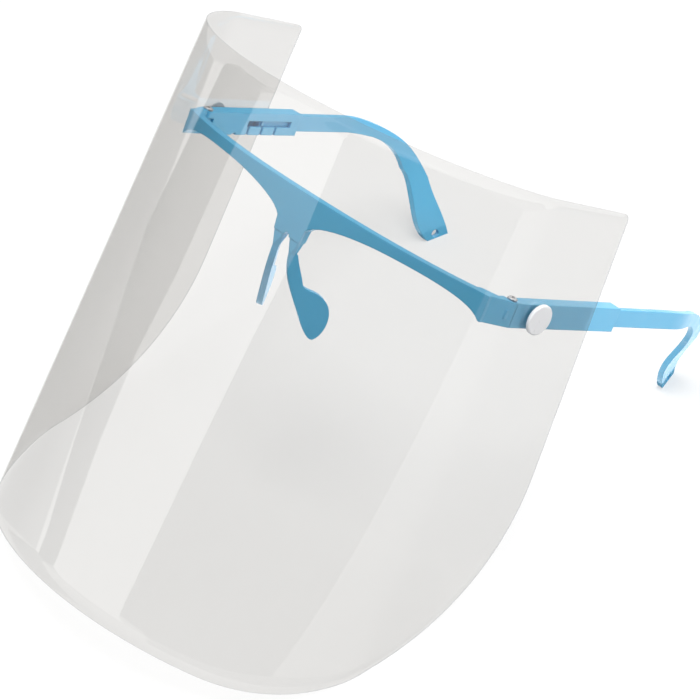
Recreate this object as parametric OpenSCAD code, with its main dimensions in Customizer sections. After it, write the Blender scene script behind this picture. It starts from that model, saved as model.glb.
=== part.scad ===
// Face shield on a spectacle frame: a clear curved visor held by two push buttons on the temples.
// Millimetres, as worn: +Z up, the wearer looks along -Y, so the wearer's left is +X.
// The origin is where the bridge rests on the nose. The right side is the left side mirrored.

/* [Front frame] */
// Half the distance between the two hinge screws
hinge_half = 73; // [66:0.5:80]
// How far the hinge screws lie behind the nose
hinge_back = 24; // [20:0.5:30]
// How far the middle of the temples lies above the nose
hinge_up = 4; // [0:0.5:8]
// Depth of the brow bar from front to back
bar_depth = 3.2; // [2.5:0.1:4.5]
// Radius of the brow bar's bow, seen from above
bar_bow = 168; // [140:1:220]
// Height of the brow bar at its thinnest
bar_height = 4.2; // [3:0.1:5]
// Height of the bridge between the bar's top edge and the fork of the nose arms
bridge_height = 16; // [14:0.5:19]
// Half the width of the neck under the bridge
neck_half = 6; // [5:0.1:7]

/* [Nose arms] */
// Thickness of a nose arm
nose_arm_thickness = 2.2; // [1.6:0.1:3]
// Turn of a nose arm away from straight back
nose_arm_flare = 33; // [28:1:46]
// How far a nose arm reaches below the nose
nose_arm_drop = 37; // [32:0.5:42]

/* [Hinges] */
// Radius of a hinge screw's shank
screw_radius = 0.8; // [0.6:0.05:1]
// Radius of a hinge screw's head
screw_head_radius = 1.7; // [1.5:0.05:2]
// Height of a hinge screw's head
screw_head_height = 1; // [0.7:0.05:1.2]
// Height of the middle knuckle, which belongs to the front frame
knuckle_height = 3; // [2.6:0.1:4]
// Running gap around the knuckles
hinge_gap = 0.25; // [0.2:0.05:0.35]
// Running clearance between the screw and the temple's lugs
screw_clearance = 0.06; // [0.03:0.01:0.1]

/* [Temple sleeves] */
// Thickness of a temple sleeve
sleeve_thickness = 4.8; // [4.4:0.1:6]
// Height of a temple sleeve
sleeve_height = 8.4; // [7.6:0.1:10]
// Length of a temple sleeve behind its hinge
sleeve_length = 52; // [48:0.5:60]
// Wall of a temple sleeve around the sliding arm
sleeve_wall = 1; // [0.8:0.05:1.2]
// Turn of the temples outwards, seen from above
temple_splay = 4.8; // [0:0.1:8]
// Distance between the three length settings
notch_pitch = 7.8; // [6:0.1:8.5]
// Height of the window's long slot
window_height = 2.3; // [1.8:0.1:2.8]
// Width of the three slits under the long slot
slit_width = 1.3; // [1:0.1:1.6]

/* [Temple arms] */
// Thickness of a temple arm
arm_thickness = 2.2; // [1.8:0.1:2.6]
// Gap between the arm and the inside of its sleeve
arm_gap = 0.15; // [0.1:0.05:0.25]
// Where the ear hook begins to turn down, behind the hinge
hook_start = 91.5; // [88:0.5:104]
// How far the tip lies behind the start of the hook
hook_reach = 40; // [38:0.5:44]
// How far the tip hangs below the middle of the temple
hook_drop = 38.5; // [34:0.5:44]
// Steepest lean of the ear hook in towards the head, seen from behind
hook_lean = 21; // [12:1:30]
// Turn of the ear hook in behind the head, seen from above
hook_wrap = 22; // [10:1:30]
// Radius of that turn
wrap_radius = 30; // [15:1:40]
// Radius of the lanyard hole in the tip
lanyard_radius = 1.6; // [1.2:0.1:2]

/* [Visor] */
// Thickness of the film
film_thickness = 0.4; // [0.3:0.05:0.6]
// Height of the film above the buttons
film_above = 39; // [30:1:50]
// Height of the film below the buttons
film_below = 145; // [125:1:170]
// Length of the film's straight tail over each temple
film_tail = 36.5; // [30:0.5:42]
// Radius of the film's turn at the hinge
film_turn_radius = 36; // [30:1:45]
// Angle of the film's turn at the hinge
film_turn = 15; // [10:1:20]
// Radius of the film's upper corners
film_top_corner = 2.5; // [1:0.5:5]
// Radius of the film's lower corners
film_corner = 91; // [70:1:100]
// How much wider the film gets, in thousandths for each millimetre down
film_widening = 0.6; // [0:0.05:1]
// How much the tails lengthen for each millimetre down
tail_fan = 0.065; // [0:0.005:0.1]
// Forward lean of the film about its buttons
film_lean = 4.5; // [0:0.5:10]

/* [Visor buttons] */
// Distance of a button behind its hinge screw
button_back = 10.6; // [9:0.1:13]
// Radius of a button's head
button_radius = 5.3; // [4.5:0.1:6]
// Thickness of a button's head
button_head = 1.1; // [0.8:0.1:1.6]
// Radius of a button's shank
shank_radius = 1.6; // [1.2:0.1:2]
// How far the shank reaches into the sleeve
shank_depth = 1.6; // [1.2:0.1:2]
// Clearance of the shank in the sleeve's socket
socket_clearance = 0.6; // [0.5:0.05:0.8]
// Gap on each side of the film at the temples
film_gap = 0.6; // [0.4:0.05:0.8]

/* [Hidden] */
$fn = 64;
eps = 0.01;
// Longer than any piece, for shapes that cut one another
through = 120;

// Across a temple, n runs outwards from the hinge axis.
knuckle_radius = 2;
inner_n = -knuckle_radius;
outer_n = inner_n + sleeve_thickness;
skin = outer_n - knuckle_radius - hinge_gap;
half_height = sleeve_height / 2;
mid_n = (inner_n + outer_n) / 2;
blue = [0.44, 0.70, 0.86];

// Points of a cubic curve, without its last point
function curve(a, b, c, d, steps = 10) =
    [for (i = [0 : steps - 1]) let (t = i / steps, u = 1 - t)
        u*u*u * a + 3*u*u*t * b + 3*u*t*t * c + t*t*t * d];

function backwards(points) = [for (i = [len(points) - 1 : -1 : 0]) points[i]];

// Places children at a hinge: x outwards, y back along the temple, z up from the temple's middle
module at_left_hinge(splay = temple_splay) {
    translate([hinge_half, hinge_back, hinge_up])
        rotate([0, 0, -splay])
            children();
}

module right_side() {
    mirror([1, 0, 0]) children();
}

// ---- Front frame: one moulding of brow bar, bridge, nose arms and hinge ends ----

corner_back = 10.4;
corner_x = hinge_half - 1.4;
corner_y = hinge_back - corner_back;
bow_y = corner_y + sqrt(bar_bow * bar_bow - corner_x * corner_x);
bridge_y = bow_y - bar_bow;
bar_top = hinge_up + 6.8;
bar_end_top = hinge_up + half_height + 0.4;
bar_end_bottom = hinge_up - half_height;

// The bar and hinge end seen from above, left half
module frame_plan() {
    difference() {
        translate([0, bow_y]) circle(r = bar_bow, $fn = 360);
        translate([0, bow_y]) circle(r = bar_bow - bar_depth, $fn = 360);
        translate([-bar_bow, corner_y + 3]) square([2 * bar_bow, 2 * bar_bow]);
        translate([corner_x, -bar_bow]) square([bar_bow, 2 * bar_bow]);
        translate([-bar_bow - eps, -bar_bow]) square([bar_bow, 2 * bar_bow]);
    }
    polygon([
        [corner_x - 6, corner_y - 0.6], [corner_x - 0.6, corner_y + 0.2],
        [hinge_half + outer_n, hinge_back - hinge_gap],
        [hinge_half + inner_n, hinge_back - hinge_gap],
        [hinge_half + inner_n, hinge_back - 5], [corner_x - 6, corner_y + 2]
    ]);
}

fork = bar_top - bridge_height;
nose_arm_inside = 1.3;
nose_arm_x = 3.8;
nose_arm_top = -8.2;

// The left half of the bar seen from the front
module frame_face() {
    low = bar_top - bar_height - 0.4;
    polygon(concat(
        [[-eps, bar_top]],
        curve([0, bar_top], [28, bar_top], [54, bar_top - 1.6], [corner_x, bar_end_top + 0.4], 12),
        [[corner_x + 2, bar_end_top], [hinge_half + outer_n, bar_end_bottom + sleeve_height]],
        [[hinge_half + outer_n + 1, bar_end_bottom + sleeve_height]],
        [[hinge_half + outer_n + 1, bar_end_bottom], [corner_x, bar_end_bottom]],
        curve([corner_x - 0.8, bar_end_bottom + 0.2], [corner_x - 4, bar_end_bottom + 5],
              [54, low], [38, low], 12),
        curve([38, low], [24, low], [neck_half + 1, low - 3], [neck_half, low - 8], 12),
        [[neck_half, fork], [nose_arm_inside, fork], [nose_arm_inside - 0.5, fork + 0.9], [-eps, fork + 1.3]]
    ));
}

// Left nose arm in its own upright plane: a runs outwards and back, z up from the nose
module nose_arm_outline() {
    foot = -nose_arm_drop;
    polygon(concat(
        [[-1.1, nose_arm_top], [-1.1, -9]],
        curve([-1, -10], [-0.4, -18], [4.5, foot + 14], [10.5, foot + 5.4], 10),
        curve([10.5, foot + 5.4], [13, foot + 2], [15, foot], [16.6, foot + 0.6], 6),
        curve([16.6, foot + 0.6], [20, foot + 3], [20.6, foot + 11], [16.6, foot + 14.2], 10),
        curve([16.6, foot + 14.2], [13, foot + 17.5], [8.6, foot + 15.8], [6.9, foot + 18], 8),
        curve([6.9, foot + 18], [5, -15], [2.4, -12], [1.3, nose_arm_top], 8)
    ));
}

module nose_arm() {
    translate([nose_arm_x, bridge_y + bar_depth / 2, 0])
        rotate([0, 0, 90 - nose_arm_flare])
            rotate([90, 0, 0])
                linear_extrude(height = nose_arm_thickness, center = true)
                    nose_arm_outline();
    nose_arm_root();
}

// The neck's lower end twists and narrows into the arm
module nose_arm_root() {
    hull() {
        translate([nose_arm_inside + 0.05, bridge_y + 0.25, fork + 0.5])
            cube([neck_half - nose_arm_inside - 0.1, bar_depth - 0.5, 0.5]);
        translate([nose_arm_x, bridge_y + bar_depth / 2, nose_arm_top - 1.8])
            rotate([0, 0, 90 - nose_arm_flare])
                cube([2, nose_arm_thickness - 0.1, 0.4], center = true);
    }
}

// The middle knuckle, which stands between the temple's two lugs
module frame_knuckle() {
    translate([hinge_half, hinge_back, hinge_up]) {
        cylinder(r = knuckle_radius, h = knuckle_height, center = true);
        translate([inner_n, -hinge_gap - 3, -knuckle_height / 2])
            cube([2 * knuckle_radius, 3 + hinge_gap, knuckle_height]);
    }
}

// Room for the temple's lugs to turn, and the screw's hole
module frame_hinge_cuts() {
    translate([hinge_half, hinge_back, hinge_up]) {
        for (end = [0, 1])
            mirror([0, 0, end])
                translate([0, 0, knuckle_height / 2]) {
                    cylinder(r = knuckle_radius + hinge_gap, h = sleeve_height);
                    translate([inner_n - 1, -knuckle_radius - hinge_gap, 0])
                        cube([1 + knuckle_radius, 3 * knuckle_radius, sleeve_height]);
                }
        cylinder(r = screw_radius, h = sleeve_height, center = true);
    }
}

module frame_half() {
    difference() {
        union() {
            intersection() {
                linear_extrude(height = through, center = true) frame_plan();
                translate([0, hinge_back + 10, 0])
                    rotate([90, 0, 0])
                        linear_extrude(height = through) frame_face();
            }
            frame_knuckle();
            nose_arm();
        }
        frame_hinge_cuts();
    }
}

module front_frame() {
    color(blue) union() {
        frame_half();
        right_side() frame_half();
    }
}

// ---- Hinge screws: pan head on the temple's upper lug, shank through all three knuckles ----

head_seat = half_height + screw_clearance;

module hinge_screw() {
    translate([hinge_half, hinge_back, hinge_up]) {
        difference() {
            union() {
                translate([0, 0, -half_height])
                    cylinder(r = screw_radius, h = half_height + head_seat + eps);
                translate([0, 0, head_seat]) cylinder(r = screw_head_radius, h = screw_head_height * 0.6);
                translate([0, 0, head_seat + screw_head_height * 0.6])
                    cylinder(r1 = screw_head_radius, r2 = screw_head_radius * 0.7, h = screw_head_height * 0.4);
            }
            for (turn = [0, 90])
                translate([0, 0, head_seat + screw_head_height])
                    rotate([0, 0, turn + 20])
                        cube([screw_head_radius * 1.3, 0.4, screw_head_height], center = true);
        }
    }
}

module hinge_screw_left() { color("silver") hinge_screw(); }
module hinge_screw_right() { color("silver") right_side() hinge_screw(); }

// ---- Temple sleeves: hollow behind the button, with a window for the arm's catch ----

body_start = knuckle_radius + hinge_gap;
lug_height = half_height - knuckle_height / 2 - hinge_gap;
window_start = 22.3;
window_end = window_start + 3 * notch_pitch + 1.8;
first_slit = window_start + slit_width;
cavity_start = window_start - 4;
cavity_thickness = arm_thickness + 2 * arm_gap;
arm_height = sleeve_height - 2 * sleeve_wall - 2 * arm_gap;

module temple_sleeve() {
    at_left_hinge()
        difference() {
            union() {
                translate([inner_n, body_start, -half_height])
                    cube([sleeve_thickness, sleeve_length - body_start, sleeve_height]);
                translate([outer_n - skin, hinge_gap, -half_height])
                    cube([skin, body_start, sleeve_height]);
                // lugs above and below the frame's knuckle
                for (end = [0, 1])
                    mirror([0, 0, end])
                        translate([0, 0, half_height - lug_height]) {
                            cylinder(r = knuckle_radius, h = lug_height);
                            translate([inner_n, 0, 0])
                                cube([2 * knuckle_radius, body_start + 1, lug_height]);
                        }
            }
            cylinder(r = screw_radius + screw_clearance, h = sleeve_height + 2, center = true);
            // room for the arm
            translate([mid_n - cavity_thickness / 2, cavity_start, -arm_height / 2 - arm_gap])
                cube([cavity_thickness, sleeve_length, arm_height + 2 * arm_gap]);
            // window: a long slot with three slits down to the lower edge
            translate([inner_n - 1, window_start, -window_height / 2])
                cube([1 + mid_n - inner_n, window_end - window_start, window_height]);
            for (i = [0 : 2])
                translate([inner_n - 1, first_slit + i * notch_pitch - slit_width / 2, -half_height - 1])
                    cube([1 + mid_n - inner_n - cavity_thickness / 2, slit_width, 1 + half_height]);
            // moulding notch at the lower edge
            translate([inner_n, button_back + 5.4, -half_height])
                rotate([0, -45, 0]) cube([1.2, 2.2, 1.2], center = true);
            // socket for the button
            translate([outer_n + 1, button_back, 0])
                rotate([0, -90, 0])
                    cylinder(r = shank_radius + socket_clearance, h = 1 + shank_depth + 0.5);
        }
}

module temple_sleeve_left() { color(blue) temple_sleeve(); }
module temple_sleeve_right() { color(blue) right_side() temple_sleeve(); }

// ---- Temple arms: a flat strip that slides in the sleeve and turns down behind the ear ----

arm_front = first_slit + notch_pitch - 1;
tip_t = hook_start + hook_reach;
tip_z = -hook_drop;
lean_start = -4;

// The arm from the side: t back from the hinge, z up
module arm_outline() {
    h = arm_height / 2;
    polygon(concat(
        [[arm_front, -h], [arm_front, h]],
        [[hook_start - 14, h]],
        curve([hook_start - 13, h], [tip_t - 28.5, h], [tip_t - 15.5, -1], [tip_t - 6.3, -14], 14),
        curve([tip_t - 6.3, -14], [tip_t - 3.7, -21], [tip_t + 2, tip_z + 11], [tip_t + 6.1, tip_z + 4.5], 10),
        curve([tip_t + 6.1, tip_z + 4.5], [tip_t + 6.4, tip_z + 1.5], [tip_t + 4.5, tip_z], [tip_t + 0.5, tip_z], 6),
        curve([tip_t + 0.5, tip_z], [tip_t - 3, tip_z + 0.2], [tip_t - 6.5, tip_z + 3.5], [tip_t - 9, tip_z + 7.2], 6),
        curve([tip_t - 9, tip_z + 7.2], [tip_t - 13.5, -24], [tip_t - 12.5, -17], [tip_t - 17, -13.2], 10),
        curve([tip_t - 17, -13.2], [tip_t - 19.5, -7.5], [tip_t - 25.5, -3.6], [hook_start + 4, -h], 10),
        [[hook_start - 6, -h]]
    ));
}

wrap_start = hook_start - 1;
wrap_tangent = wrap_radius * tan(hook_wrap / 2);

// The arm from behind, past the turn: upright, leaning in over lean_drop, then upright again
lean_drop = 29;
lean_ease = 10;

// Slope of the lean at a height, from 0 to 1 of the steepest
function lean_part(z) = let (d = lean_start - z)
    max(0, min(1, d / lean_ease, (lean_drop - d) / lean_ease));

// Distance in from the temple's plane at a height
function lean_n(z) = let (
        d = max(0, min(lean_drop, lean_start - z)),
        into = min(d, lean_ease),
        outof = max(0, d - lean_drop + lean_ease)
    )
    -tan(hook_lean) * (d - into + into * into / 2 / lean_ease - outof * outof / 2 / lean_ease);
function lean_width(z) = arm_thickness / 2 / cos(hook_lean * lean_part(z));
lean_steps = concat([8], [for (d = [0 : lean_drop / 16 : lean_drop]) lean_start - d], [-50]);

module arm_section() {
    polygon(concat(
        [for (z = lean_steps) [lean_n(z) + lean_width(z), z]],
        backwards([for (z = lean_steps) [lean_n(z) - lean_width(z), z]])
    ));
}

// The lanyard hole's middle, in the turned part of the arm
lanyard_z = tip_z + 4.2;
lanyard_along = (tip_t + 0.7 - wrap_start - lean_n(lanyard_z) * sin(hook_wrap)) / cos(hook_wrap);

// Places children where the turned part meets the line of the temple, y along the turned part
module at_wrap() {
    translate([mid_n, wrap_start, 0]) rotate([0, 0, hook_wrap]) children();
}

module temple_arm() {
    at_left_hinge() {
        difference() {
            intersection() {
                rotate([90, 0, 90])
                    linear_extrude(height = 2 * through, center = true) arm_outline();
                union() {
                    translate([mid_n - arm_thickness / 2, 0, -arm_height])
                        cube([arm_thickness, wrap_start - wrap_tangent, 2 * arm_height]);
                    translate([mid_n - wrap_radius, wrap_start - wrap_tangent, 0])
                        rotate_extrude(angle = hook_wrap)
                            translate([wrap_radius, 0])
                                square([arm_thickness, 2 * arm_height], center = true);
                    at_wrap()
                        translate([0, 2 * hook_reach, 0])
                            rotate([90, 0, 0])
                                linear_extrude(height = 2 * hook_reach - wrap_tangent) arm_section();
                }
            }
            at_wrap()
                translate([lean_n(lanyard_z), lanyard_along, lanyard_z])
                    rotate([0, 90, 0])
                        cylinder(r = lanyard_radius, h = 10, center = true);
        }
        // catch that clicks from slit to slit
        translate([mid_n - arm_thickness / 2 - 0.8, arm_front + 0.5, -window_height / 2 + 0.3])
            cube([0.8 + eps, 1, window_height - 0.6]);
    }
}

module temple_arm_left() { color(blue) temple_arm(); }
module temple_arm_right() { color(blue) right_side() temple_arm(); }

// ---- Visor film: a flat cut sheet bowed around the frame, built of straight upright rulings ----

film_inner_n = outer_n + film_gap;
turn_end = [
    hinge_half + film_inner_n * cos(temple_splay) - sin(temple_splay),
    hinge_back - film_inner_n * sin(temple_splay) - cos(temple_splay)
];
turn_start = turn_end - film_turn_radius * [
    cos(temple_splay) - cos(temple_splay + film_turn),
    sin(temple_splay + film_turn) - sin(temple_splay)
];
bow_radius = turn_start[0] / cos(temple_splay + film_turn);
bow_centre_y = turn_start[1] + bow_radius * sin(temple_splay + film_turn);
bow_length = bow_radius * (90 - temple_splay - film_turn) * PI / 180;
turn_length = film_turn_radius * film_turn * PI / 180;
half_length = bow_length + turn_length + film_tail;

// Direction of the film, in degrees from straight across, at a length s along it
function film_heading(s) =
    s < bow_length ? s / bow_radius * 180 / PI
    : s < bow_length + turn_length
        ? 90 - temple_splay - film_turn + (s - bow_length) / film_turn_radius * 180 / PI
    : 90 - temple_splay;

// Place of the film seen from above; the tail lengthens with the drop below the top edge
function film_place(s, drop) =
    let (h = film_heading(s), tail = s - bow_length - turn_length)
    s < bow_length
        ? [bow_radius * sin(h), bow_centre_y - bow_radius * cos(h)]
    : tail < 0
        ? turn_start + film_turn_radius * [
            sin(h) - cos(temple_splay + film_turn),
            sin(temple_splay + film_turn) - cos(h)]
    : turn_end + tail * (1 + tail_fan * drop / film_tail) * [sin(temple_splay), cos(temple_splay)];

// Lower edge: straight in front, one large round corner to each side
function lower_edge(s) =
    s < half_length - film_corner ? -film_below
    : -film_below + film_corner
        - sqrt(max(0, film_corner * film_corner - pow(s - half_length + film_corner, 2)));

// Upper edge: straight, with small round corners
function upper_edge(s) =
    let (past = s - half_length + film_top_corner)
    film_above - (past < 0 ? 0
        : film_top_corner - sqrt(max(0, film_top_corner * film_top_corner - past * past)));

function film_point(s, z, side, out) =
    let (
        p = film_place(abs(s), film_above - z),
        h = film_heading(abs(s)),
        wide = 1 - film_widening / 1000 * z
    )
    [side * (p[0] * wide + out * sin(h)), p[1] - out * cos(h), z];

flat_steps = 16;
corner_steps = 32;
half_stations = concat(
    [for (i = [0 : flat_steps - 1]) i / flat_steps * (half_length - film_corner)],
    [for (i = [0 : corner_steps]) half_length - film_corner + film_corner * sin(90 * i / corner_steps)]
);
film_stations = concat(
    [for (i = [len(half_stations) - 1 : -1 : 1]) [-1, half_stations[i]]],
    [for (s = half_stations) [1, s]]
);

module film_sheet() {
    count = len(film_stations);
    points = [for (f = film_stations) each [
        film_point(f[1], upper_edge(f[1]), f[0], 0),
        film_point(f[1], upper_edge(f[1]), f[0], film_thickness),
        film_point(f[1], lower_edge(f[1]), f[0], film_thickness),
        film_point(f[1], lower_edge(f[1]), f[0], 0)
    ]];
    sides = [for (i = [0 : count - 2]) for (k = [0 : 3])
        [4 * i + k, 4 * i + (k + 1) % 4, 4 * i + 4 + (k + 1) % 4, 4 * i + 4 + k]];
    last = 4 * (count - 1);
    polyhedron(
        points = points,
        faces = concat(
            [for (f = sides) each [[f[0], f[3], f[2]], [f[0], f[2], f[1]]]],
            [[0, 1, 2, 3], [last + 3, last + 2, last + 1, last]]
        )
    );
}

button_y = hinge_back + button_back * cos(temple_splay) - outer_n * sin(temple_splay);
film_hole_clearance = 0.3;

module visor_film() {
    color([0.92, 0.93, 0.93, 0.5])
        difference() {
            translate([0, button_y, hinge_up])
                rotate([-film_lean, 0, 0])
                    translate([0, -button_y, 0])
                        film_sheet();
            for (side = [0, 1])
                mirror([side, 0, 0])
                    at_left_hinge()
                        translate([0, button_back, 0])
                            rotate([0, 90, 0])
                                cylinder(r = shank_radius + film_hole_clearance, h = 20);
        }
}

// ---- Visor buttons: a round head outside the film and a short shank into the sleeve ----

button_seat = film_inner_n + film_thickness + film_gap;

module visor_button() {
    at_left_hinge()
        translate([0, button_back, 0])
            rotate([0, 90, 0]) {
                translate([0, 0, outer_n - shank_depth])
                    cylinder(r = shank_radius, h = shank_depth + button_seat - outer_n + eps);
                translate([0, 0, button_seat])
                    cylinder(r = button_radius, h = button_head * 0.7);
                translate([0, 0, button_seat + button_head * 0.7])
                    cylinder(r1 = button_radius, r2 = button_radius - 0.4, h = button_head * 0.3);
            }
}

module visor_button_left() { color("white") visor_button(); }
module visor_button_right() { color("white") right_side() visor_button(); }

front_frame();
hinge_screw_left();
hinge_screw_right();
temple_sleeve_left();
temple_sleeve_right();
temple_arm_left();
temple_arm_right();
visor_film();
visor_button_left();
visor_button_right();
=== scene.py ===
import math

import bmesh
import bpy
from mathutils import Matrix, Vector


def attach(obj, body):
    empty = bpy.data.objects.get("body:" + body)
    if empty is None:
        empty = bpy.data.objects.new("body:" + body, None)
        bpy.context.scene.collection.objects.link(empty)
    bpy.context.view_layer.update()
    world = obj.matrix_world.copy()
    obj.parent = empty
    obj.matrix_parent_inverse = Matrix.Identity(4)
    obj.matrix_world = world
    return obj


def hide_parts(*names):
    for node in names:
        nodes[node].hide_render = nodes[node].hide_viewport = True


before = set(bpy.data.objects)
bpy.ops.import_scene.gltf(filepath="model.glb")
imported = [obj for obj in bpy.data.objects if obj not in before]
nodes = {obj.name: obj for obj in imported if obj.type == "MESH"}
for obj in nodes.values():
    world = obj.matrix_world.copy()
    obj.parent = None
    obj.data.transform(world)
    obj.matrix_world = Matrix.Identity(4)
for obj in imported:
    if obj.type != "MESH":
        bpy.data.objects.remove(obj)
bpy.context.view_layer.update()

# ---------------------------------------------------------------------------
# Front frame: brow bar, bridge, nose arms and hinge ends in one injection
# moulding of light blue polycarbonate, with a fine satin tool finish and
# softly broken edges.
# ---------------------------------------------------------------------------
BLUE = (0.115, 0.510, 0.800)
BLUE_DEEP = (0.098, 0.475, 0.770)
BLUE_EDGE = 0.00045              # radius of the mould's broken edges
BLUE_GLOW = (0.3, 0.7, 1.0)      # how far each colour of light runs inside
FLOW_SCALE = 38                  # clouds of colour from the melt's flow, per metre
SATIN_SCALE = 260                # duller and smoother patches, per metre
GRAIN_DEPTH = 0.00004


def new_material(name):
    made = bpy.data.materials.new(name)
    made.use_nodes = True
    tree = made.node_tree
    tree.nodes.clear()
    return made, tree


def node(tree, kind, **settings):
    made = tree.nodes.new(kind)
    for key, value in settings.items():
        setattr(made, key, value)
    return made


def surface(tree, output):
    tree.links.new(output, node(tree, "ShaderNodeOutputMaterial").inputs["Surface"])


def noise(tree, where, scale, detail=2.0, roughness=0.5):
    made = node(tree, "ShaderNodeTexNoise")
    made.inputs["Scale"].default_value = scale
    made.inputs["Detail"].default_value = detail
    made.inputs["Roughness"].default_value = roughness
    tree.links.new(where, made.inputs["Vector"])
    return made.outputs["Fac"]


def spread(tree, value, low, high):
    """Stretch a noise, which keeps near its middle, over low to high."""
    made = node(tree, "ShaderNodeMapRange")
    made.inputs["From Min"].default_value = 0.3
    made.inputs["From Max"].default_value = 0.7
    made.inputs["To Min"].default_value = low
    made.inputs["To Max"].default_value = high
    tree.links.new(value, made.inputs["Value"])
    return made.outputs["Result"]


def two_colours(tree, value, first, second):
    made = node(tree, "ShaderNodeMix", data_type="RGBA")
    made.inputs["A"].default_value = (*first, 1)
    made.inputs["B"].default_value = (*second, 1)
    tree.links.new(value, made.inputs["Factor"])
    return made.outputs["Result"]


def broken_edges(tree, radius):
    made = node(tree, "ShaderNodeBevel", samples=6)
    made.inputs["Radius"].default_value = radius
    return made.outputs["Normal"]


def satin_moulding(name, first, second, edge, grain, rough):
    """Moulded plastic: cloudy flow in the colour, a fine tool grain and broken edges."""
    made, tree = new_material(name)
    where = node(tree, "ShaderNodeTexCoord").outputs["Object"]
    shader = node(tree, "ShaderNodeBsdfPrincipled")
    flow = spread(tree, noise(tree, where, FLOW_SCALE, 3), 0, 1)
    tree.links.new(two_colours(tree, flow, first, second), shader.inputs["Base Color"])
    satin = noise(tree, where, SATIN_SCALE, 4)
    tree.links.new(spread(tree, satin, rough - 0.05, rough + 0.06), shader.inputs["Roughness"])
    bump = node(tree, "ShaderNodeBump")
    bump.inputs["Strength"].default_value = 0.12
    bump.inputs["Distance"].default_value = GRAIN_DEPTH
    tree.links.new(noise(tree, where, grain, 3, 0.6), bump.inputs["Height"])
    tree.links.new(broken_edges(tree, edge), bump.inputs["Normal"])
    tree.links.new(bump.outputs["Normal"], shader.inputs["Normal"])
    surface(tree, shader.outputs["BSDF"])
    return made, shader


def let_light_in(shader, weight, radius, scale):
    shader.inputs["Subsurface Weight"].default_value = weight
    shader.inputs["Subsurface Radius"].default_value = radius
    shader.inputs["Subsurface Scale"].default_value = scale


def finish_node(name, material):
    slots = nodes[name].material_slots
    for slot in slots:
        slot.material = material
    if not slots:
        nodes[name].data.materials.append(material)


blue_plastic, blue_shader = satin_moulding(
    "blue_moulded_plastic", BLUE, BLUE_DEEP, edge=BLUE_EDGE, grain=1500, rough=0.42)
let_light_in(blue_shader, 0.12, BLUE_GLOW, 0.0015)
finish_node("front_frame", blue_plastic)

# ---------------------------------------------------------------------------
# Hinge screws: plain steel pan heads with a cross recess, turned and lightly
# oiled, driven down through the three knuckles of each hinge.
# ---------------------------------------------------------------------------
STEEL = (0.86, 0.86, 0.87)
STEEL_DARK = (0.62, 0.62, 0.64)
TURNING_SCALE = 900              # light and dark marks of the turning, per metre
POLISH_SCALE = 2200

screw_steel, tree = new_material("turned_screw_steel")
where = node(tree, "ShaderNodeTexCoord").outputs["Object"]
shader = node(tree, "ShaderNodeBsdfPrincipled")
shader.inputs["Metallic"].default_value = 1.0
turning = spread(tree, noise(tree, where, TURNING_SCALE, 3), 0, 1)
tree.links.new(two_colours(tree, turning, STEEL, STEEL_DARK), shader.inputs["Base Color"])
polish = noise(tree, where, POLISH_SCALE, 2)
tree.links.new(spread(tree, polish, 0.22, 0.42), shader.inputs["Roughness"])
tree.links.new(broken_edges(tree, 0.0002), shader.inputs["Normal"])
surface(tree, shader.outputs["BSDF"])
for side in ("left", "right"):
    finish_node("hinge_screw_" + side, screw_steel)

# ---------------------------------------------------------------------------
# Temple sleeves and arms: the same blue moulding. The sleeve is hollow behind
# the button, and the flat arm slides in it and clicks between three lengths.
# ---------------------------------------------------------------------------
for side in ("left", "right"):
    finish_node("temple_sleeve_" + side, blue_plastic)
    finish_node("temple_arm_" + side, blue_plastic)

# ---------------------------------------------------------------------------
# Visor buttons: white moulded discs with a short shank, pushed through the
# film into the temple so that the film stays on and can tilt.
# ---------------------------------------------------------------------------
WHITE = (0.93, 0.93, 0.94)
WHITE_DULL = (0.89, 0.89, 0.91)

white_plastic, white_shader = satin_moulding(
    "white_moulded_plastic", WHITE, WHITE_DULL, edge=0.0003, grain=2200, rough=0.30)
let_light_in(white_shader, 0.35, (1.0, 1.0, 1.0), 0.003)
for side in ("left", "right"):
    finish_node("visor_button_" + side, white_plastic)

# ---------------------------------------------------------------------------
# Visor film: a sheet of clear polyester 0.4 mm thick, die-cut with big round
# lower corners, bowed round the frame and held only by the two buttons.
# ---------------------------------------------------------------------------
HINGE = Vector((0.073, 0.024, 0.004))
SPLAY = math.radians(4.8)        # each temple's turn outwards
OUTER = 0.0028                   # outside face of the temple from the hinge line
FILM_GAP = 0.0006
THICK = 0.0004
TURN_RADIUS = 0.036              # the tighter bend where the bow meets the temple
TURN = math.radians(15)
TAIL = 0.0365                    # flat end beside the temple
TAIL_START = 0.001               # how far in front of the hinge the flat end starts
ABOVE, BELOW = 0.039, 0.145      # reach of the sheet from the buttons' line
TOP_CORNER, LOW_CORNER = 0.0025, 0.091
WIDENING = 0.6                   # share gained per metre of drop
TAIL_FAN = 0.065                 # the flat end's gain in length per metre of drop
LEAN = math.radians(4.5)         # the whole sheet's lean about the buttons' line
BUTTON_BACK = 0.0106             # button behind the hinge
BOW_STEPS, CORNER_STEPS, ROWS = 40, 72, 28

inner = OUTER + FILM_GAP
turn_end = Vector((HINGE.x + inner * math.cos(SPLAY) - TAIL_START * math.sin(SPLAY),
                   HINGE.y - inner * math.sin(SPLAY) - TAIL_START * math.cos(SPLAY)))
turn_start = turn_end - TURN_RADIUS * Vector((
    math.cos(SPLAY) - math.cos(SPLAY + TURN), math.sin(SPLAY + TURN) - math.sin(SPLAY)))
bow_radius = turn_start.x / math.cos(SPLAY + TURN)
bow_centre = turn_start.y + bow_radius * math.sin(SPLAY + TURN)
bow_length = bow_radius * (math.pi / 2 - SPLAY - TURN)
turn_length = TURN_RADIUS * TURN
half_length = bow_length + turn_length + TAIL


def film_heading(s):
    if s < bow_length:
        return s / bow_radius
    if s < bow_length + turn_length:
        return math.pi / 2 - SPLAY - TURN + (s - bow_length) / TURN_RADIUS
    return math.pi / 2 - SPLAY


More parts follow.
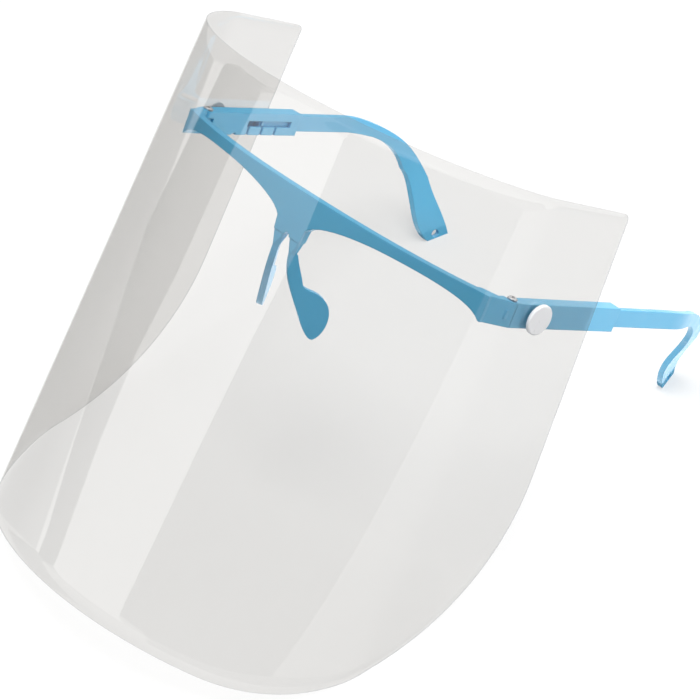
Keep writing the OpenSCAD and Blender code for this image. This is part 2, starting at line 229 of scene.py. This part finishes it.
def film_point(s, z, out):
    """A point of the film: s along it from the middle, z up from the buttons, out through it."""
    side, s = (1 if s >= 0 else -1), abs(s)
    h = film_heading(s)
    past = s - bow_length - turn_length
    if s < bow_length:
        x, y = bow_radius * math.sin(h), bow_centre - bow_radius * math.cos(h)
    elif past < 0:
        x = turn_start.x + TURN_RADIUS * (math.sin(h) - math.cos(SPLAY + TURN))
        y = turn_start.y + TURN_RADIUS * (math.sin(SPLAY + TURN) - math.cos(h))
    else:
        reach = past * (1 + TAIL_FAN * (ABOVE - z) / TAIL)
        x, y = turn_end.x + reach * math.sin(SPLAY), turn_end.y + reach * math.cos(SPLAY)
    x *= 1 - WIDENING * z
    return Vector((side * (x + out * math.sin(h)), y - out * math.cos(h), z))


def film_edges(s):
    """The sheet's lower and upper edge at s, with its round corners."""
    s = abs(s)
    low, high = -BELOW, ABOVE
    past = s - half_length + LOW_CORNER
    if past > 0:
        low += LOW_CORNER - math.sqrt(max(0, LOW_CORNER ** 2 - past ** 2))
    past = s - half_length + TOP_CORNER
    if past > 0:
        high -= TOP_CORNER - math.sqrt(max(0, TOP_CORNER ** 2 - past ** 2))
    return low, high


flat = half_length - LOW_CORNER
half = [flat * i / BOW_STEPS for i in range(BOW_STEPS)]
half += [flat + LOW_CORNER * math.sin(math.pi / 2 * i / CORNER_STEPS)
         for i in range(CORNER_STEPS + 1)]
stations = [-s for s in reversed(half[1:])] + half
final = len(stations) - 1
button_line = Vector((0, HINGE.y + BUTTON_BACK * math.cos(SPLAY) - OUTER * math.sin(SPLAY),
                      HINGE.z))
lean = (Matrix.Translation(button_line) @ Matrix.Rotation(-LEAN, 4, "X")
        @ Matrix.Translation(Vector((0, -button_line.y, 0))))

sheet = bmesh.new()
layers = []
for out in (0, THICK):
    grid = []
    for s in stations:
        low, high = film_edges(s)
        grid.append([sheet.verts.new(lean @ film_point(s, low + (high - low) * r / ROWS, out))
                     for r in range(ROWS + 1)])
    layers.append(grid)
inside, outside = layers
for grid in layers:
    for i in range(final):
        for r in range(ROWS):
            ring = [grid[i][r], grid[i + 1][r], grid[i + 1][r + 1], grid[i][r + 1]]
            face = sheet.faces.new(ring if grid is outside else ring[::-1])
            face.smooth = True
border = [(i, 0) for i in range(final + 1)]
border += [(final, r) for r in range(1, ROWS + 1)]
border += [(i, ROWS) for i in range(final - 1, -1, -1)]
border += [(0, r) for r in range(ROWS - 1, 0, -1)]
for n, (i, r) in enumerate(border):
    j, q = border[(n + 1) % len(border)]
    face = sheet.faces.new([inside[i][r], inside[j][q], outside[j][q], outside[i][r]])
    face.material_index = 1
bmesh.ops.recalc_face_normals(sheet, faces=sheet.faces[:])
film_mesh = bpy.data.meshes.new("clear_film")
sheet.to_mesh(film_mesh)
sheet.free()
film = bpy.data.objects.new("clear_film", film_mesh)
bpy.context.scene.collection.objects.link(film)
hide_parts("visor_film")
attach(film, "visor")

POLYESTER_INDEX = 1.62
MOST_MIRRORED = 0.13             # share of the light at a glancing look
SHEET_TINT = (0.926, 0.922, 0.915)
EDGE_TINT = (0.90, 0.91, 0.92)   # the die-cut rim, which is a little frosted
DUST = (0.9, 0.9, 0.9, 1)
SMEAR_SCALE = 60                 # faint smears in the gloss, per metre
DUST_SCALE = 420


def clear_sheet(name, tint, haze, rough):
    """Clear sheet: what is behind shows unbent, with the surface's gloss over it."""
    made, tree = new_material(name)
    where = node(tree, "ShaderNodeTexCoord").outputs["Object"]
    through = node(tree, "ShaderNodeBsdfTransparent")
    through.inputs["Color"].default_value = (*tint, 1)
    gloss = node(tree, "ShaderNodeBsdfAnisotropic")
    gloss.inputs["Color"].default_value = (1, 1, 1, 1)
    smears = noise(tree, where, SMEAR_SCALE, 4)
    tree.links.new(spread(tree, smears, rough, rough + 0.03), gloss.inputs["Roughness"])
    index = node(tree, "ShaderNodeMapRange")
    index.inputs["To Min"].default_value = POLYESTER_INDEX
    index.inputs["To Max"].default_value = 1 / POLYESTER_INDEX
    tree.links.new(node(tree, "ShaderNodeNewGeometry").outputs["Backfacing"],
                   index.inputs["Value"])
    fresnel = node(tree, "ShaderNodeFresnel")
    tree.links.new(index.outputs["Result"], fresnel.inputs["IOR"])
    most = node(tree, "ShaderNodeMath", operation="MINIMUM")
    most.inputs[1].default_value = MOST_MIRRORED
    tree.links.new(fresnel.outputs["Fac"], most.inputs[0])
    clean = node(tree, "ShaderNodeMixShader")
    tree.links.new(most.outputs["Value"], clean.inputs["Fac"])
    tree.links.new(through.outputs["BSDF"], clean.inputs[1])
    tree.links.new(gloss.outputs["BSDF"], clean.inputs[2])
    dust = node(tree, "ShaderNodeBsdfDiffuse")
    dust.inputs["Color"].default_value = DUST
    dusty = node(tree, "ShaderNodeMixShader")
    specks = noise(tree, where, DUST_SCALE, 5, 0.7)
    tree.links.new(spread(tree, specks, haze * 0.5, haze), dusty.inputs["Fac"])
    tree.links.new(clean.outputs["Shader"], dusty.inputs[1])
    tree.links.new(dust.outputs["BSDF"], dusty.inputs[2])
    surface(tree, dusty.outputs["Shader"])
    return made


film_mesh.materials.append(clear_sheet("clear_polyester", SHEET_TINT, haze=0.004, rough=0.012))
film_mesh.materials.append(clear_sheet("cut_polyester_edge", EDGE_TINT, haze=0.25, rough=0.25))

# ---------------------------------------------------------------------------
# The table the shield lies on, on its two hooks and the film's lower edge. It
# ends in front, so the film mirrors the studio cards past that edge.
# ---------------------------------------------------------------------------
TABLE_TILT = math.radians(31.85)
TABLE_DEPTH = 0.1109             # from the frame's origin down to the table
TABLE_CORNERS = ((-0.20, -0.314), (0.80, 0.200), (1.30, 1.60), (-1.60, 1.60),
                 (-1.60, -0.80), (-0.90, -0.674))
TABLE_PAPER = (0.42, 0.42, 0.42, 1)
TABLE_GLOW = 0.56                # lifts the paper to white where no shadow falls
TABLE_MIRRORED = 0.40            # the paper's brightness as reflections see it

table_up = Vector((0, -math.sin(TABLE_TILT), math.cos(TABLE_TILT)))
table_zero = table_up * -TABLE_DEPTH


def on_table(x, y):
    """The point of the table over the given x and y."""
    return Vector((x, y, (table_zero.dot(table_up) - y * table_up.y) / table_up.z))


def emission(tree, strength):
    made = node(tree, "ShaderNodeEmission")
    made.inputs["Strength"].default_value = strength
    return made.outputs["Emission"]


def mix_shaders(tree, share, first, second):
    made = node(tree, "ShaderNodeMixShader")
    tree.links.new(share, made.inputs["Fac"])
    tree.links.new(first, made.inputs[1])
    tree.links.new(second, made.inputs[2])
    return made.outputs["Shader"]


def add_shaders(tree, first, second):
    made = node(tree, "ShaderNodeAddShader")
    tree.links.new(first, made.inputs[0])
    tree.links.new(second, made.inputs[1])
    return made.outputs["Shader"]


def seen_rays(tree, ray):
    """1 for a ray that a viewer sees by: straight, mirrored or through a clear piece."""
    seen = ray.outputs["Is Camera Ray"]
    for kind in ("Is Glossy Ray", "Is Transmission Ray"):
        either = node(tree, "ShaderNodeMath", operation="MAXIMUM")
        tree.links.new(seen, either.inputs[0])
        tree.links.new(ray.outputs[kind], either.inputs[1])
        seen = either.outputs["Value"]
    return seen


table_mesh = bpy.data.meshes.new("table")
table_mesh.from_pydata([tuple(on_table(x, y)) for x, y in TABLE_CORNERS], [],
                       [tuple(range(len(TABLE_CORNERS)))])
table = bpy.data.objects.new("table", table_mesh)
bpy.context.scene.collection.objects.link(table)
paper, tree = new_material("white_table")
ray = node(tree, "ShaderNodeLightPath")
lit = node(tree, "ShaderNodeBsdfDiffuse")
lit.inputs["Color"].default_value = TABLE_PAPER
glow = mix_shaders(tree, seen_rays(tree, ray), emission(tree, 0.0), emission(tree, TABLE_GLOW))
paper_top = mix_shaders(tree, ray.outputs["Is Glossy Ray"],
                        add_shaders(tree, lit.outputs["BSDF"], glow),
                        emission(tree, TABLE_MIRRORED))
from_below = node(tree, "ShaderNodeBsdfTransparent")
surface(tree, mix_shaders(tree, node(tree, "ShaderNodeNewGeometry").outputs["Backfacing"],
                          paper_top, from_below.outputs["BSDF"]))
table_mesh.materials.append(paper)

# ---------------------------------------------------------------------------
# Studio cards: black cloth to each side of the front and a lit white card
# between them. Only reflections see them.
# ---------------------------------------------------------------------------
CARD_CENTRE = Vector((0.03, -0.02, -0.03))
FAR_CARD, NEAR_CARD = 1.6, 0.42
CARD_STEPS = 12
CARD_GLOW = 1.00
FRONT_CARD_END, RIGHT_CLOTH_END = -80, 125
# Azimuth of the seam between the lit card and the right cloth, at each elevation
SEAM = {-45: -9, -20: -6, -14: -1, -10: 3, -6: 8, 5: 10, 30: 10}
# Elevation of each row of the left cloth, with the azimuths of its two ends
LEFT_CLOTH = [(-45, -50, -42), (-28, -57, -46), (-21, -66, -50), (-15, -72, -51),
              (-9, -80, -47.5), (-1, -77, -46.5), (5, -75, -43.5), (30, -70, -36)]


def toward(azimuth, elevation, far):
    a, e = math.radians(azimuth), math.radians(elevation)
    return CARD_CENTRE + far * Vector(
        (math.sin(a) * math.cos(e), -math.cos(a) * math.cos(e), math.sin(e)))


def mirrored_only(mesh):
    """A stage piece that only reflections see."""
    card = bpy.data.objects.new(mesh.name, mesh)
    bpy.context.scene.collection.objects.link(card)
    card.visible_camera = False
    card.visible_diffuse = False
    card.visible_shadow = False
    card.visible_transmission = False
    return card


def studio_card(name, rows, far, material):
    """A curved card; each row is an elevation with the azimuths of its two ends."""
    points, quads = [], []
    for elevation, first, last in rows:
        for k in range(CARD_STEPS + 1):
            azimuth = first + (last - first) * k / CARD_STEPS
            points.append(tuple(toward(azimuth, elevation, far)))
    for i in range(len(rows) - 1):
        for k in range(CARD_STEPS):
            a = i * (CARD_STEPS + 1) + k
            quads.append((a, a + 1, a + CARD_STEPS + 2, a + CARD_STEPS + 1))
    mesh = bpy.data.meshes.new(name)
    mesh.from_pydata(points, [], quads)
    mesh.materials.append(material)
    mirrored_only(mesh)


black_cloth, tree = new_material("black_cloth")
cloth = node(tree, "ShaderNodeBsdfDiffuse")
cloth.inputs["Color"].default_value = (0.02, 0.02, 0.02, 1)
surface(tree, cloth.outputs["BSDF"])
lit_card, tree = new_material("lit_card")
surface(tree, emission(tree, CARD_GLOW))

studio_card("right_cloth", [(e, a, RIGHT_CLOTH_END) for e, a in SEAM.items()],
            FAR_CARD, black_cloth)
studio_card("front_card", [(e, FRONT_CARD_END, a) for e, a in SEAM.items()],
            FAR_CARD, lit_card)
studio_card("left_cloth", LEFT_CLOTH, NEAR_CARD, black_cloth)

# ---------------------------------------------------------------------------
# Sheen card: light off the table behind, low over the paper, which gives the
# blue mouldings' side faces their pale sheen. Nothing else mirrors it.
# ---------------------------------------------------------------------------
SHEEN_GLOW = 2.4
SHEEN_LIFT = 0.004
SHEEN_CORNERS = ((-0.16, 0.0), (0.50, 0.0), (0.50, 0.60), (-0.16, 0.60))

sheen_light, tree = new_material("sheen_light")
pass_on = node(tree, "ShaderNodeBsdfTransparent")
surface(tree, add_shaders(tree, emission(tree, SHEEN_GLOW), pass_on.outputs["BSDF"]))
sheen_mesh = bpy.data.meshes.new("sheen_card")
sheen_mesh.from_pydata([tuple(on_table(x, y) + SHEEN_LIFT * table_up) for x, y in SHEEN_CORNERS],
                       [], [(0, 1, 2, 3)])
sheen_mesh.materials.append(sheen_light)
sheen_card = mirrored_only(sheen_mesh)
mouldings = bpy.data.collections.new("blue_mouldings")
for name in ("front_frame", "temple_sleeve_left", "temple_sleeve_right",
             "temple_arm_left", "temple_arm_right"):
    mouldings.objects.link(nodes[name])
sheen_card.light_linking.receiver_collection = mouldings

# ---------------------------------------------------------------------------
# Studio light: a white surround, one broad soft lamp high up behind to the
# right and a stronger one in front. The film doesn't mirror the lamps.
# ---------------------------------------------------------------------------
FILL = 0.6                       # the surround as light on the object
SURROUND = 1.0                   # the surround as it is seen


def background(tree, strength):
    made = node(tree, "ShaderNodeBackground")
    made.inputs["Color"].default_value = (1, 1, 1, 1)
    made.inputs["Strength"].default_value = strength
    return made.outputs["Background"]


world = bpy.data.worlds.new("studio")
world.use_nodes = True
bpy.context.scene.world = world
tree = world.node_tree
tree.nodes.clear()
ray = node(tree, "ShaderNodeLightPath")
sky = mix_shaders(tree, seen_rays(tree, ray), background(tree, FILL), background(tree, SURROUND))
tree.links.new(sky, node(tree, "ShaderNodeOutputWorld").inputs["Surface"])

not_film = bpy.data.collections.new("lamps_leave_out")
not_film.objects.link(film)
not_film.collection_objects[0].light_linking.link_state = "EXCLUDE"


def soft_lamp(name, place, aim, size, watts):
    lamp = bpy.data.lights.new(name, "AREA")
    lamp.shape = "DISK"
    lamp.size = size
    lamp.energy = watts
    made = bpy.data.objects.new(name, lamp)
    made.location = place
    made.rotation_mode = "QUATERNION"
    made.rotation_quaternion = (Vector(aim) - Vector(place)).to_track_quat("-Z", "Y")
    bpy.context.scene.collection.objects.link(made)
    made.light_linking.receiver_collection = not_film


soft_lamp("key_lamp", place=(1.35, 0.55, 1.65), aim=(0.0, 0.05, -0.03), size=1.2, watts=14.5)
soft_lamp("front_lamp", place=(0.25, -1.15, 1.55), aim=(0.0, 0.0, -0.03), size=1.0, watts=25.0)

# ---------------------------------------------------------------------------
# Camera: from the wearer's front left, a little above, rolled so that the
# shield's upright edges lean to the right.
# ---------------------------------------------------------------------------
PICTURE_WIDTH = 700
FOCAL_LENGTH = 2500              # in pixels of that width
CAMERA_PLACE = (0.486768, -0.609972, 0.221702)
CAMERA_RIGHT = Vector((0.684888, 0.642766, 0.343191))
CAMERA_DOWN = Vector((0.463327, -0.020657, -0.885947))
CAMERA_AHEAD = Vector((-0.562367, 0.765784, -0.311959))

lens = bpy.data.cameras.new("camera")
lens.sensor_width = 36
lens.lens = lens.sensor_width * FOCAL_LENGTH / PICTURE_WIDTH
camera = bpy.data.objects.new("camera", lens)
bpy.context.scene.collection.objects.link(camera)
camera.matrix_world = Matrix.Translation(CAMERA_PLACE) @ Matrix(
    (CAMERA_RIGHT, -CAMERA_DOWN, -CAMERA_AHEAD)).transposed().to_4x4()
bpy.context.scene.camera = camera
bpy.context.scene.view_settings.view_transform = "Standard"
